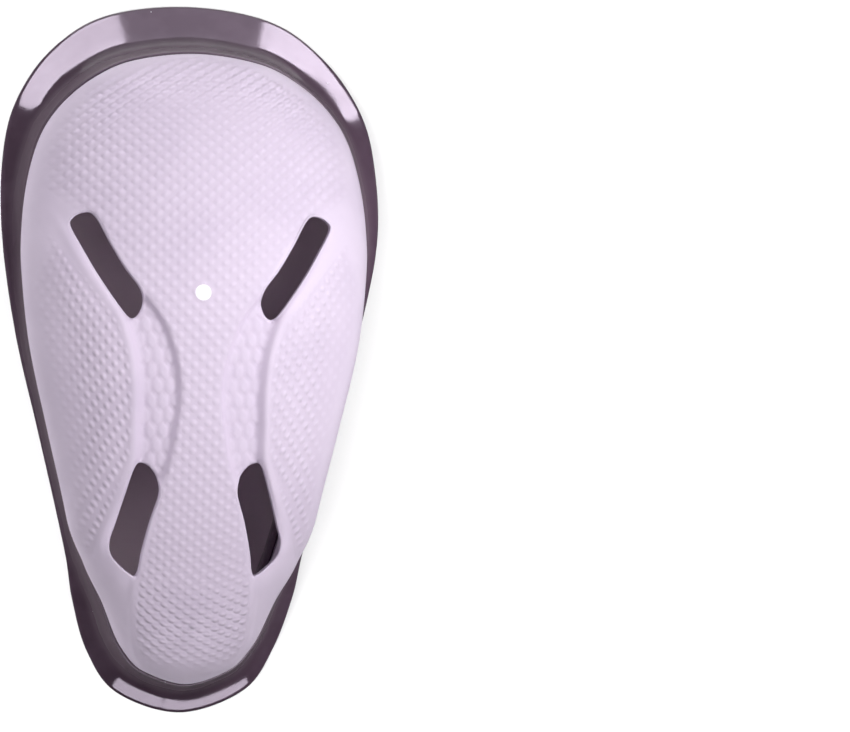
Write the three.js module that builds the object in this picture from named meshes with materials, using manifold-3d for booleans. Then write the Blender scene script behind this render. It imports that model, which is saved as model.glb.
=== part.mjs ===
// Abdominal guard: a hard moulded shell held in a flexible flared rim.
// It lies rim down. X runs across, Y along with the wide end at +Y, Z up. Millimetres.
import * as THREE from "three";
import { mergeVertices } from "three/addons/utils/BufferGeometryUtils.js";
import Module from "manifold-3d";

const wasm = await Module();
wasm.setup();

// Outline of one half, from the middle of the wide end to the middle of the narrow end.
// along, half: the rim's outer edge. lift: how high its underside stands off the ground.
// flare: from that edge in to the shell's widest line. widest: that line's height.
// drop: from that line down to the seam, where the rim's lip meets the shell.
const STATIONS = [
  { along: 85, half: 0, lift: 0, flare: 13.6, widest: 25, drop: 2 },
  { along: 82, half: 20.1, lift: 0, flare: 13.6, widest: 24.5, drop: 2 },
  { along: 73, half: 33, lift: 1.6, flare: 12, widest: 24, drop: 2 },
  { along: 60, half: 41.1, lift: 7.7, flare: 9, widest: 24, drop: 2.5 },
  { along: 46, half: 44, lift: 12.6, flare: 6.4, widest: 24.5, drop: 3.5 },
  { along: 28, half: 43.9, lift: 17.6, flare: 4.1, widest: 27.5, drop: 5.5 },
  { along: 6, half: 40.5, lift: 12.8, flare: 2.3, widest: 30, drop: 7.5 },
  { along: -16, half: 35.2, lift: 10.8, flare: 1.7, widest: 29.5, drop: 8 },
  { along: -34, half: 30.9, lift: 9.8, flare: 1.9, widest: 28.3, drop: 8 },
  { along: -47, half: 28, lift: 8.8, flare: 3.2, widest: 26, drop: 6 },
  { along: -57, half: 26.3, lift: 5.6, flare: 6.1, widest: 21.5, drop: 3 },
  { along: -70, half: 22.4, lift: 0, flare: 7.6, widest: 17.5, drop: 2 },
  { along: -80, half: 15.2, lift: 0, flare: 8.8, widest: 16, drop: 2 },
  { along: -85, half: 0, lift: 0, flare: 8.9, widest: 16, drop: 2 },
];

// Shell
const WALL = 3;
const CROWN = { along: 12, height: 48 };
const UPPER_CURVE = { inside: 2, outside: 2 };
const LOWER_CURVE = { inside: 1.75, outside: 1.9 };
const SECTION_CURVE = { inside: 2.3, outside: 2.2 };
const SPINE = { centre: -2, reach: 0.55 };
const TUCK_SLOPE = 0.28;
const TUCK_AT_HALF_DROP = 0.3;
const GRIP_MOST = 4.7;
const GRIP_SHARE = 0.45;
const GATE_MARK = { along: 16, radius: 2, height: 0.25, sunk: 1 };

// Sunken channel of the right side, between the centre shield and the side panel.
const CHANNEL_DEPTH = 1.8;
const CHANNEL = [
  { along: 15, inner: 13, outer: 19.6 },
  { along: 9, inner: 8.9, outer: 16.6 },
  { along: 2.4, inner: 6.4, outer: 14.6 },
  { along: -4, inner: 5.2, outer: 13.8 },
  { along: -10, inner: 5.2, outer: 13.7 },
  { along: -15, inner: 5.9, outer: 13.8 },
  { along: -21, inner: 6.9, outer: 13.7 },
  { along: -27, inner: 8.6, outer: 15.2 },
];

// Through slots of the right side, at the two ends of the channel.
const UPPER_SLOT = [
  { across: 24, along: 32.8 },
  { across: 26.6, along: 33.5 },
  { across: 28.9, along: 32.2 },
  { across: 29.2, along: 30.3 },
  { across: 26.3, along: 24.9 },
  { across: 23.2, along: 19.6 },
  { across: 18.2, along: 12.3 },
  { across: 16, along: 10.1 },
  { across: 14.3, along: 10.9 },
  { across: 13.3, along: 13.8 },
  { across: 14.1, along: 16.9 },
  { across: 17.3, along: 21.2 },
  { across: 20.6, along: 26.7 },
];
const LOWER_SLOT = [
  { across: 10.9, along: -23.6 },
  { across: 12.7, along: -22.6 },
  { across: 14.4, along: -23.4 },
  { across: 16.5, along: -30 },
  { across: 18.4, along: -36.7 },
  { across: 19.5, along: -41 },
  { across: 18.6, along: -44.6 },
  { across: 14.4, along: -48.5 },
  { across: 13.1, along: -47.8 },
  { across: 12.3, along: -42.8 },
  { across: 10.7, along: -35.8 },
  { across: 8.9, along: -29.6 },
  { across: 9.4, along: -26 },
];

// Rim. The bead's rows are shares of its radius, from the foot round to its top.
const BEAD = 1.6;
const BEAD_ROUND = [
  { inward: 0.6, up: 0 },
  { inward: 0.15, up: 0.45 },
  { inward: 0, up: 1 },
  { inward: 0.3, up: 1.7 },
  { inward: 1, up: 2 },
];
const FOOT = 2.8;
const LIP = { thick: 1.1, round: 0.4 };
const INNER_LIP = { thick: 1.5, high: 2.5 };
const FLOOR_UNDER_GROOVE = 2.2;
const UNDERSIDE_RISE = 0.6;
const SKIRT_STEPS = [0.3, 0.58, 0.76, 0.88, 0.95];
const UNDER_STEPS = [0.75, 0.5, 0.25];
const SKIRT_RISE = { straight: 0.39, power: 8 };
const UNDER_RISE = { straight: 0.85, power: 3 };

const GAP = 0.3;

// How finely the curves are divided
const AROUND = 78;
const DOME_ROWS = 11;
const INNER_ROWS = 9;
const CHANNEL_PARTS = 24;
const SLOT_PARTS = 39;
const GATE_SIDES = 20;
const BISECTIONS = 40;
const FACING_STRETCH = 0.02;
const CUT_TOP = 70;
const CUT_BOTTOM = 5;

const WHITE_PLASTIC = new THREE.MeshStandardMaterial({ color: 0xe6dce8, roughness: 0.45, metalness: 0 });
const GREY_RUBBER = new THREE.MeshStandardMaterial({ color: 0x554a56, roughness: 0.25, metalness: 0 });

// A closed curve through one vector of each station, round the right side and back up the left.
function aroundCurve(toVector) {
  const right = STATIONS.map((row) => toVector(row, 1));
  const left = STATIONS.slice(1, -1).reverse().map((row) => toVector(row, -1));
  return new THREE.CatmullRomCurve3([...right, ...left], true, "catmullrom", 0.5);
}

const edgeCurve = aroundCurve((row, side) => new THREE.Vector3(side * row.half, row.along, row.lift));
const wallCurve = aroundCurve((row) => new THREE.Vector3(row.flare, row.widest, row.drop));

// The section of the guard at a place u on its right half, 0 at the wide end to 0.5 at the narrow end.
// It faces square to a short stretch of the outline, so that tight corners don't fold.
function stationAt(u) {
  const edge = edgeCurve.getPoint(u);
  const wall = wallCurve.getPoint(u);
  const before = edgeCurve.getPoint((u + 1 - FACING_STRETCH) % 1);
  const ahead = edgeCurve.getPoint((u + FACING_STRETCH) % 1).sub(before);
  const outward = new THREE.Vector2(-ahead.y, ahead.x).normalize();
  const lift = Math.max(edge.z, 0);
  const seam = wall.y - wall.z;
  const tuck = TUCK_SLOPE * wall.z;
  const grip = Math.min(GRIP_MOST, GRIP_SHARE * (seam - lift));
  return { edge, outward, lift, flare: wall.x, widest: wall.y, seam, tuck, grip };
}

// A point of a section: a distance in from the rim's outer edge, and a height.
function sectionPoint(station, inward, height) {
  const x = station.edge.x - station.outward.x * inward;
  const y = station.edge.y - station.outward.y * inward;
  return new THREE.Vector3(x, y, height);
}

// The stations all the way round, with side -1 on the left half.
const stations = Array.from({ length: AROUND }, (_, i) => {
  const nearest = Math.min(i, AROUND - i);
  return { ...stationAt(nearest / AROUND), side: i === nearest ? 1 : -1 };
});

function widestPoint(station, inset) {
  return sectionPoint(station, station.flare + inset, station.widest);
}

// Half width and height of the shell's widest line, inset by part of the wall, at a place along it.
function widestAt(along, inset) {
  let low = 0;
  let high = 0.5;
  for (let i = 0; i < BISECTIONS; i += 1) {
    const middle = (low + high) / 2;
    if (widestPoint(stationAt(middle), inset).y > along) {
      low = middle;
    } else {
      high = middle;
    }
  }
  return widestPoint(stationAt(low), inset);
}

// A bow from 1 at the middle to 0 at the end.
function bow(share, curve) {
  const clamped = Math.min(Math.abs(share), 1);
  return (1 - clamped ** curve.inside) ** (1 / curve.outside);
}

function crownAt(along, inset) {
  const upper = along >= CROWN.along;
  const tip = widestPoint(stationAt(upper ? 0 : 0.5), inset);
  const share = (along - CROWN.along) / (tip.y - CROWN.along);
  return tip.z + (CROWN.height - inset - tip.z) * bow(share, upper ? UPPER_CURVE : LOWER_CURVE);
}

// Height of the shell's surface over a place in plan.
function domeHeight(across, along, inset) {
  const side = widestAt(along, inset);
  const rise = Math.max(crownAt(along, inset) - side.z, 0);
  return side.z + rise * bow(across / Math.max(side.x, 1e-6), SECTION_CURVE);
}

// A row of the dome: each point lies the given share of the way from the spine to the widest line.
function domeRow(share, inset) {
  return stations.map((station) => {
    const rim = widestPoint(station, inset);
    const spine = SPINE.centre + SPINE.reach * (rim.y - SPINE.centre);
    const x = rim.x * share;
    const y = spine + (rim.y - spine) * share;
    const z = share === 1 ? rim.z : domeHeight(x, y, inset);
    return new THREE.Vector3(x * station.side, y, z);
  });
}

function wallRow(place) {
  return stations.map((station) => {
    const point = sectionPoint(station, ...place(station));
    point.x *= station.side;
    return point;
  });
}

// Joins rows of equal length into a skin that closes on itself round each row.
function skin(rows, closeRows) {
  const width = rows[0].length;
  const positions = rows.flat().flatMap((point) => point.toArray());
  const index = [];
  const last = closeRows ? rows.length : rows.length - 1;
  for (let k = 0; k < last; k += 1) {
    const here = k * width;
    const next = ((k + 1) % rows.length) * width;
    for (let i = 0; i < width; i += 1) {
      const j = (i + 1) % width;
      index.push(here + i, here + j, next + j);
      index.push(here + i, next + j, next + i);
    }
  }
  const geometry = new THREE.BufferGeometry();
  geometry.setAttribute("position", new THREE.Float32BufferAttribute(positions, 3));
  geometry.setIndex(index);
  return mergeVertices(geometry);
}

function toSolid(geometry) {
  const bare = geometry.clone();
  bare.deleteAttribute("normal");
  bare.deleteAttribute("uv");
  const merged = mergeVertices(bare);
  const vertProperties = new Float32Array(merged.attributes.position.array);
  const triVerts = new Uint32Array(merged.index.array);
  return new wasm.Manifold(new wasm.Mesh({ numProp: 3, vertProperties, triVerts }));
}

function toGeometry(solid) {
  const mesh = solid.getMesh();
  const geometry = new THREE.BufferGeometry();
  geometry.setAttribute("position", new THREE.BufferAttribute(mesh.vertProperties, 3));
  geometry.setIndex(new THREE.BufferAttribute(mesh.triVerts, 1));
  geometry.computeVertexNormals();
  return geometry;
}

// The shell before its channels and slots are cut: outer dome, edge in the rim's groove, inner dome.
function plainShell() {
  const outer = Array.from({ length: DOME_ROWS + 1 }, (_, k) => {
    return domeRow(Math.sin((Math.PI / 2) * (k / DOME_ROWS)), 0);
  });
  const wall = [
    wallRow((s) => [s.flare + TUCK_AT_HALF_DROP * s.tuck, (s.widest + s.seam) / 2]),
    wallRow((s) => [s.flare + s.tuck, s.seam]),
    wallRow((s) => [s.flare + s.tuck, s.seam - s.grip]),
    wallRow((s) => [s.flare + s.tuck + WALL, s.seam - s.grip]),
    wallRow((s) => [s.flare + s.tuck + WALL, s.seam]),
  ];
  const inner = Array.from({ length: INNER_ROWS + 1 }, (_, k) => {
    return domeRow(Math.cos((Math.PI / 2) * (k / INNER_ROWS)), WALL);
  });
  inner[INNER_ROWS] = domeRow(0, WALL);
  return skin([...outer, ...wall, ...inner], false);
}

// A bar that fills the channel down to its floor.
function channelCutter(side) {
  const place = new THREE.CatmullRomCurve3(
    CHANNEL.map((row) => new THREE.Vector3(row.inner, row.along, row.outer)),
    false,
    "catmullrom",
    0.5,
  );
  const floor = (x, y) => new THREE.Vector3(side * x, y, domeHeight(x, y, 0) - CHANNEL_DEPTH);
  const top = (x, y) => new THREE.Vector3(side * x, y, CUT_TOP);
  const rows = place.getPoints(CHANNEL_PARTS).map(({ x: inner, y, z: outer }) => {
    const middle = (inner + outer) / 2;
    const across = [inner, middle, outer];
    const row = [...across.map((x) => floor(x, y)), ...across.reverse().map((x) => top(x, y))];
    return side > 0 ? row : row.reverse();
  });
  const [first, last] = [rows[0], rows[CHANNEL_PARTS]];
  const closed = [first.map(() => first[1]), ...rows, last.map(() => last[1])];
  return toSolid(skin(closed, false));
}

function slotCutter(outline, side) {
  const corners = outline.map((row) => new THREE.Vector3(side * row.across, row.along, 0));
  const curve = new THREE.CatmullRomCurve3(corners, true, "catmullrom", 0.5);
  const points = curve.getPoints(SLOT_PARTS).slice(0, -1);
  const shape = new THREE.Shape(points.map((point) => new THREE.Vector2(point.x, point.y)));
  const bar = new THREE.ExtrudeGeometry(shape, { depth: CUT_TOP - CUT_BOTTOM, bevelEnabled: false });
  return toSolid(bar.translate(0, 0, CUT_BOTTOM));
}

function gateMark() {
  const { along, radius, height, sunk } = GATE_MARK;
  const disc = new THREE.CylinderGeometry(radius, radius, height + sunk, GATE_SIDES).rotateX(Math.PI / 2);
  return toSolid(disc.translate(0, along, domeHeight(0, along, 0) + (height - sunk) / 2));
}

function shellGeometry() {
  let solid = toSolid(plainShell()).add(gateMark());
  for (const side of [1, -1]) {
    solid = solid.subtract(channelCutter(side));
    solid = solid.subtract(slotCutter(UPPER_SLOT, side));
    solid = solid.subtract(slotCutter(LOWER_SLOT, side));
  }
  return toGeometry(solid);
}

// A rise from 0 to 1 that starts gently and ends steeply.
function sweep(share, { straight, power }) {
  return straight * share + (1 - straight) * share ** power;
}

// The rim's closed section, from its foot out round the bead, up the skirt to the lip,
// down into the groove that holds the shell, over the inner lip and back along the underside.
function rimSection(s) {
  const grooveOut = s.flare + s.tuck - GAP;
  const grooveIn = s.flare + s.tuck + WALL + GAP;
  const grooveFloor = s.seam - s.grip - GAP;
  const innerEdge = grooveIn + INNER_LIP.thick;
  const lipEdge = grooveOut - LIP.thick;
  const beadTop = s.lift + 2 * BEAD;
  const lipLow = s.seam - LIP.round;
  const innerLow = Math.max(s.lift + UNDERSIDE_RISE, grooveFloor - FLOOR_UNDER_GROOVE);
  const bead = BEAD_ROUND.map(({ inward, up }) => [inward * BEAD, s.lift + up * BEAD]);
  const skirt = SKIRT_STEPS.map((t) => {
    const height = beadTop + (lipLow - beadTop) * sweep(t, SKIRT_RISE);
    return [BEAD + (lipEdge - BEAD) * t, height];
  });
  const under = UNDER_STEPS.map((t) => {
    const height = s.lift + (innerLow - s.lift) * sweep(t, UNDER_RISE);
    return [FOOT + (innerEdge - FOOT) * t, height];
  });
  return [
    [FOOT, s.lift],
    ...bead,
    ...skirt,
    [lipEdge, lipLow],
    [lipEdge + LIP.round, s.seam],
    [grooveOut, s.seam],
    [grooveOut, grooveFloor],
    [grooveIn, grooveFloor],
    [grooveIn, grooveFloor + INNER_LIP.high],
    [innerEdge, grooveFloor + INNER_LIP.high],
    [innerEdge, innerLow],
    ...under,
  ];
}

function rimGeometry() {
  const sections = stations.map((station) => rimSection(station));
  const rows = sections[0].map((_, k) => {
    return stations.map((station, i) => {
      const point = sectionPoint(station, ...sections[i][k]);
      point.x *= station.side;
      return point;
    });
  });
  const geometry = skin(rows.reverse(), true);
  geometry.computeVertexNormals();
  return geometry;
}

function piece(name, geometry, material) {
  const mesh = new THREE.Mesh(geometry, material);
  mesh.name = name;
  return mesh;
}

const guard = new THREE.Group();
guard.add(piece("shell", shellGeometry(), WHITE_PLASTIC));
guard.add(piece("rim", rimGeometry(), GREY_RUBBER));

export default guard;
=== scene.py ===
import logging
from dataclasses import dataclass, field
from enum import Enum

import bpy
import numpy as np
from mathutils import Matrix, Vector

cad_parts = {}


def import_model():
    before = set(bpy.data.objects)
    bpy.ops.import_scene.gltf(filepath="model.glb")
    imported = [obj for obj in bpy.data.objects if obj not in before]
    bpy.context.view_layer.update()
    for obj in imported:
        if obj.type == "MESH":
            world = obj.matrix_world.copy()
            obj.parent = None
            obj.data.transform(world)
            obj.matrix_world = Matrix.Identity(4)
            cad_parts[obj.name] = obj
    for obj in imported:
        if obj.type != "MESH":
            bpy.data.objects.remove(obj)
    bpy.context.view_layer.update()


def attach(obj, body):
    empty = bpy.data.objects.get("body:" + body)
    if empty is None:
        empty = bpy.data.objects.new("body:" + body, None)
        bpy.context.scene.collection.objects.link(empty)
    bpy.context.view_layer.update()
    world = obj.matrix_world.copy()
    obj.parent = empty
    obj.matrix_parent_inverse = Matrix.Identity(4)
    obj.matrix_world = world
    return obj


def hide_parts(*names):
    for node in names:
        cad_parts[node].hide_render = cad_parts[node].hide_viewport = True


# Abdominal guard: a moulded hard shell with a grip texture, held in a glossy flexible flared rim.
# Sizes are in millimetres until a mesh is made: X across, Y along with the wide end at +Y, Z up.

Array = np.ndarray
Colour = tuple[float, float, float, float]
Span = tuple[float, float]
Table = tuple[tuple[float, ...], ...]
Socket = bpy.types.NodeSocket
MM = 0.001
PICTURE_WIDTH = 850
# The widest line's number among the shell's borders, before the slots.
EDGE = 0
LOG = logging.getLogger("abdominal_guard")


class Side(Enum):
    """The two mirrored halves of the guard."""

    RIGHT = 1
    LEFT = -1


class Slot(Enum):
    """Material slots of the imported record."""

    WHITE_PLASTIC = "white_plastic"
    GREY_RUBBER = "grey_rubber"


class Reach(Enum):
    """What a light falls on: matt surfaces, the gloss of shiny ones, or the open floor alone."""

    MATT = "matt"
    GLOSS = "gloss"
    FLOOR = "floor"


@dataclass(frozen=True)
class Station:
    """One section of the guard's right half, where the outline passes through it."""

    along: float
    half: float
    lift: float
    flare: float
    widest: float
    drop: float


STATIONS: tuple[Station, ...] = (
    Station(85.0, 0.0, 0.0, 13.6, 25.0, 2.0),
    Station(82.0, 20.1, 0.0, 13.6, 24.5, 2.0),
    Station(73.0, 33.0, 1.6, 12.0, 24.0, 2.0),
    Station(60.0, 41.1, 7.7, 9.0, 24.0, 2.5),
    Station(46.0, 44.0, 12.6, 6.4, 24.5, 3.5),
    Station(28.0, 43.9, 17.6, 4.1, 27.5, 5.5),
    Station(6.0, 40.5, 12.8, 2.3, 30.0, 7.5),
    Station(-16.0, 35.2, 10.8, 1.7, 29.5, 8.0),
    Station(-34.0, 30.9, 9.8, 1.9, 28.3, 8.0),
    Station(-47.0, 28.0, 8.8, 3.2, 26.0, 6.0),
    Station(-57.0, 26.3, 5.6, 6.1, 21.5, 3.0),
    Station(-70.0, 22.4, 0.0, 7.6, 17.5, 2.0),
    Station(-80.0, 15.2, 0.0, 8.8, 16.0, 2.0),
    Station(-85.0, 0.0, 0.0, 8.9, 16.0, 2.0),
)

# Lines on the right side, seen from above: across, along.
UPPER_SLOT: Table = (
    (24.0, 32.8), (26.6, 33.5), (28.9, 32.2), (29.2, 30.3), (26.3, 24.9), (23.2, 19.6), (18.2, 12.3),
    (16.0, 10.1), (14.3, 10.9), (13.3, 13.8), (14.1, 16.9), (17.3, 21.2), (20.6, 26.7),
)
LOWER_SLOT: Table = (
    (10.9, -23.6), (12.7, -22.6), (14.4, -23.4), (16.5, -30.0), (18.4, -36.7), (19.5, -41.0), (18.6, -44.6),
    (14.4, -48.5), (13.1, -47.8), (12.3, -42.8), (10.7, -35.8), (8.9, -29.6), (9.4, -26.0),
)
# The crest of the side panel's raised border, from its fading upper end downwards.
PANEL_CREST: Table = (
    (35.0, 35.5), (31.6, 31.0), (28.4, 25.5), (25.0, 20.0), (20.3, 13.6), (17.6, 9.4), (15.7, 2.4),
    (14.8, -4.0), (14.6, -10.0), (14.7, -15.0), (14.9, -21.0), (16.2, -26.5), (18.3, -32.0), (20.1, -37.0),
    (21.3, -41.5), (20.8, -45.5),
)

# Tables by the place along. The sunken channel: along, inner edge, outer edge.
CHANNEL: Table = (
    (21.0, 17.6, 24.0), (15.0, 13.0, 19.6), (9.0, 8.9, 16.6), (2.4, 6.4, 14.6), (-4.0, 5.2, 13.8),
    (-10.0, 5.2, 13.7), (-15.0, 5.9, 13.8), (-21.0, 6.9, 13.7), (-27.0, 8.6, 15.2), (-33.0, 10.2, 17.2),
)
# How far from the middle the centre's grip texture reaches: along, across.
CENTRE_REACH: Table = (
    (71.0, 0.0), (69.5, 9.0), (67.5, 16.0), (65.0, 22.0), (61.0, 28.0), (55.0, 33.0), (47.0, 36.0),
    (39.0, 36.5), (33.0, 28.0), (27.0, 19.8), (21.0, 16.4), (15.0, 12.6), (9.0, 8.7), (2.4, 6.4),
    (-4.0, 5.3), (-10.0, 5.3), (-15.0, 6.0), (-21.0, 6.9), (-27.0, 8.4), (-36.0, 10.1), (-42.0, 11.4),
    (-46.0, 12.1), (-50.0, 13.1), (-58.0, 13.4), (-64.0, 12.8), (-68.0, 11.8), (-72.0, 9.3), (-75.0, 0.0),
)
# Where a panel's grip texture starts and ends: along, inner end, outer end.
PANEL_REACH: Table = (
    (39.0, 42.0, 42.0), (33.0, 38.0, 38.0), (27.0, 32.0, 34.5), (21.0, 27.4, 34.0), (15.0, 22.8, 33.4),
    (9.0, 18.4, 32.4), (2.4, 15.9, 31.0), (-4.0, 15.0, 30.0), (-10.0, 14.9, 29.2), (-15.0, 15.0, 28.8),
    (-21.0, 15.2, 28.2), (-27.0, 17.2, 27.6), (-36.0, 20.4, 27.2), (-42.0, 22.0, 26.4), (-46.0, 22.9, 25.0),
    (-50.0, 24.0, 24.0),
)
# How far beyond that outer end the texture goes on faintly: along, across.
FAINT_REACH: Table = ((-46.0, 0.0), (3.0, 4.6), (18.0, 4.0), (26.0, 0.0))
# The centre's grip texture: along, rows to the millimetre, height.
GRIP_ROWS: Table = (
    (-74.0, 0.52, 0.10), (-66.0, 0.48, 0.22), (-58.0, 0.44, 0.36), (-25.0, 0.33, 0.30), (-10.0, 0.308, 0.25),
    (5.0, 0.30, 0.24), (20.0, 0.309, 0.27), (47.0, 0.356, 0.40), (62.0, 0.46, 0.38), (72.0, 0.53, 0.26),
)


def ease(value: Array, start: float | Array, end: float | Array) -> Array:
    """Eases from 0 at start to 1 at end: three squares less two cubes of the share, held at both ends.

    Args:
        value: Where to work it out.
        start: The value at 0.
        end: The value at 1, above or below the start.

    Returns:
        Numbers from 0 to 1.
    """
    share = np.clip((value - start) / (end - start), 0.0, 1.0)
    return share * share * (3.0 - 2.0 * share)


def look_up(table: Table | Array, along: Array) -> list[Array]:
    """Values of a table's other columns at places along, by straight interpolation, held at both ends.

    Args:
        table: Rows that begin with their place along.
        along: The places.

    Returns:
        One array for each of the other columns.
    """
    rows = np.array(table)
    rows = rows[np.argsort(rows[:, 0])]
    return [np.interp(along, rows[:, 0], column) for column in rows.T[1:]]


def spline(points: Array, share: Array, closed: bool) -> Array:
    """Catmull-Rom curve through points.

    Between two neighbours it is the cubic whose tangent at each point is half the chord from the point
    before it to the point after it. An open curve's ends are carried on straight by one point.

    Args:
        points: One row for each point the curve passes through.
        share: Places on the curve, 0 at the first point and 1 at the end.
        closed: Whether the last point joins the first.

    Returns:
        One row for each place.
    """
    if closed:
        padded = np.vstack([points[-1:], points, points[:2]])
        count = len(points)
        place = (share % 1.0) * count
    else:
        padded = np.vstack([2.0 * points[:1] - points[1:2], points, 2.0 * points[-1:] - points[-2:-1]])
        count = len(points) - 1
        place = np.clip(share, 0.0, 1.0) * count
    index = np.minimum(np.floor(place).astype(int), count - 1)
    t = (place - index)[:, None]
    before, start, end, after = (padded[index + k] for k in range(4))
    leave, arrive = 0.5 * (end - before), 0.5 * (after - start)
    t2, t3 = t * t, t * t * t
    return (
        (2.0 * t3 - 3.0 * t2 + 1.0) * start
        + (t3 - 2.0 * t2 + t) * leave
        + (3.0 * t2 - 2.0 * t3) * end
        + (t3 - t2) * arrive
    )


def nearest_on_line(points: Array, line: Array, closed: bool) -> tuple[Array, Array]:
    """Finds the nearest place on a line of straight pieces for each point.

    Each piece's own nearest place is the point's projection on it, held between its ends. The piece
    whose place is nearest wins.

    Args:
        points: Points in two dimensions, one to a row.
        line: The line's points.
        closed: Whether the last point joins the first.

    Returns:
        Places counted in the line's points, and distances.
    """
    start = line if closed else line[:-1]
    run = (np.roll(line, -1, axis=0) if closed else line[1:])[: len(start)] - start
    offset = points[:, None, :] - start[None]
    along = np.clip((offset * run).sum(2) / np.maximum((run**2).sum(1), 1e-12), 0.0, 1.0)
    apart = ((offset - along[..., None] * run) ** 2).sum(2)
    best = apart.argmin(axis=1)
    rows = np.arange(len(points))
    return best + along[rows, best], np.sqrt(apart[rows, best])


def on_line(line: Array, place: Array) -> Array:
    """Points of a closed line, by straight interpolation.

    Args:
        line: The line's points.
        place: Places counted in them.

    Returns:
        One row for each place.
    """
    index = np.floor(place).astype(int)
    t = (place - index)[:, None]
    return line[index % len(line)] * (1.0 - t) + line[(index + 1) % len(line)] * t


def inside_line(points: Array, line: Array) -> Array:
    """Tells which points lie inside a closed line, by counting the sides that a ray to the right crosses.

    Args:
        points: Points in two dimensions, one to a row.
        line: The closed line's points.

    Returns:
        True for each point inside.
    """
    inside = np.zeros(len(points), bool)
    near = np.all((points > line.min(0)) & (points < line.max(0)), axis=1)
    x, y = points[near, 0][:, None], points[near, 1][:, None]
    ax, ay = line[:, 0], line[:, 1]
    bx, by = np.roll(ax, -1), np.roll(ay, -1)
    spans = (ay > y) != (by > y)
    rise = np.where(by == ay, 1.0, by - ay)
    crossed = spans & (x < ax + (y - ay) * (bx - ax) / rise)
    inside[near] = crossed.sum(axis=1) % 2 == 1
    return inside


def from_table(table: Array, row: Array, column: Array) -> Array:
    """Values of a table between its entries, weighted between the four nearest.

    Args:
        table: The table.
        row: Rows, in fractions.
        column: Columns, in fractions.

    Returns:
        The values.
    """
    r = np.clip(row, 0.0, table.shape[0] - 1.000001)
    c = np.clip(column, 0.0, table.shape[1] - 1.000001)
    i, j = np.floor(r).astype(int), np.floor(c).astype(int)
    t, s = r - i, c - j
    low = table[i, j] * (1.0 - s) + table[i, j + 1] * s
    high = table[i + 1, j] * (1.0 - s) + table[i + 1, j + 1] * s
    return low * (1.0 - t) + high * t


@dataclass(frozen=True)
class Ring:
    """Sections of the guard at many places round it, as arrays of one entry each."""

    edge: Array
    outward: Array
    lift: Array
    flare: Array
    widest: Array
    seam: Array
    tuck: Array
    grip: Array

    def points(self, inward: Array, height: Array) -> Array:
        """Points of the sections: the outer edge, moved in against its outward direction, at a height.

        Args:
            inward: Distances in from the rim's outer edge, one row for each line round the guard.
            height: Heights, in the same rows.

        Returns:
            Points, with the rows and the places round the guard as the first axes.
        """
        plan = self.edge - self.outward * np.asarray(inward)[..., None]
        tall = np.broadcast_to(height, plan.shape[:-1])[..., None]
        return np.concatenate([plan, tall], axis=-1)


@dataclass(frozen=True)
class Outline:
    """The closed outline that both mouldings follow, as a function of the share u of the way round."""

    stations: tuple[Station, ...] = STATIONS
    facing_stretch: float = 0.02
    tuck_slope: float = 0.28
    grip_most: float = 4.7
    grip_share: float = 0.45

    def ring(self, u: Array) -> Ring:
        """Sections at shares of the way round.

        A closed spline runs through the right half's stations and back through their mirror images. A
        section faces square to the chord of a short stretch of the outline on both sides of it.

        Args:
            u: 0 at the wide end, 0.5 at the narrow end, and on round the left side.

        Returns:
            The sections.
        """
        right = np.array([(s.half, s.along, s.lift, s.flare, s.widest, s.drop) for s in self.stations])
        left = right[-2:0:-1] * np.array([-1.0, 1.0, 1.0, 1.0, 1.0, 1.0])
        loop = np.vstack([right, left])
        here = spline(loop, u, True)
        chord = spline(loop, u + self.facing_stretch, True) - spline(loop, u - self.facing_stretch, True)
        outward = np.stack([-chord[:, 1], chord[:, 0]], axis=1)
        outward /= np.linalg.norm(outward, axis=1, keepdims=True)
        lift = np.maximum(here[:, 2], 0.0)
        seam = here[:, 4] - here[:, 5]
        grip = np.minimum(self.grip_most, self.grip_share * (seam - lift))
        tuck = self.tuck_slope * here[:, 5]
        return Ring(here[:, :2], outward, lift, here[:, 3], here[:, 4], seam, tuck, grip)


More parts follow.
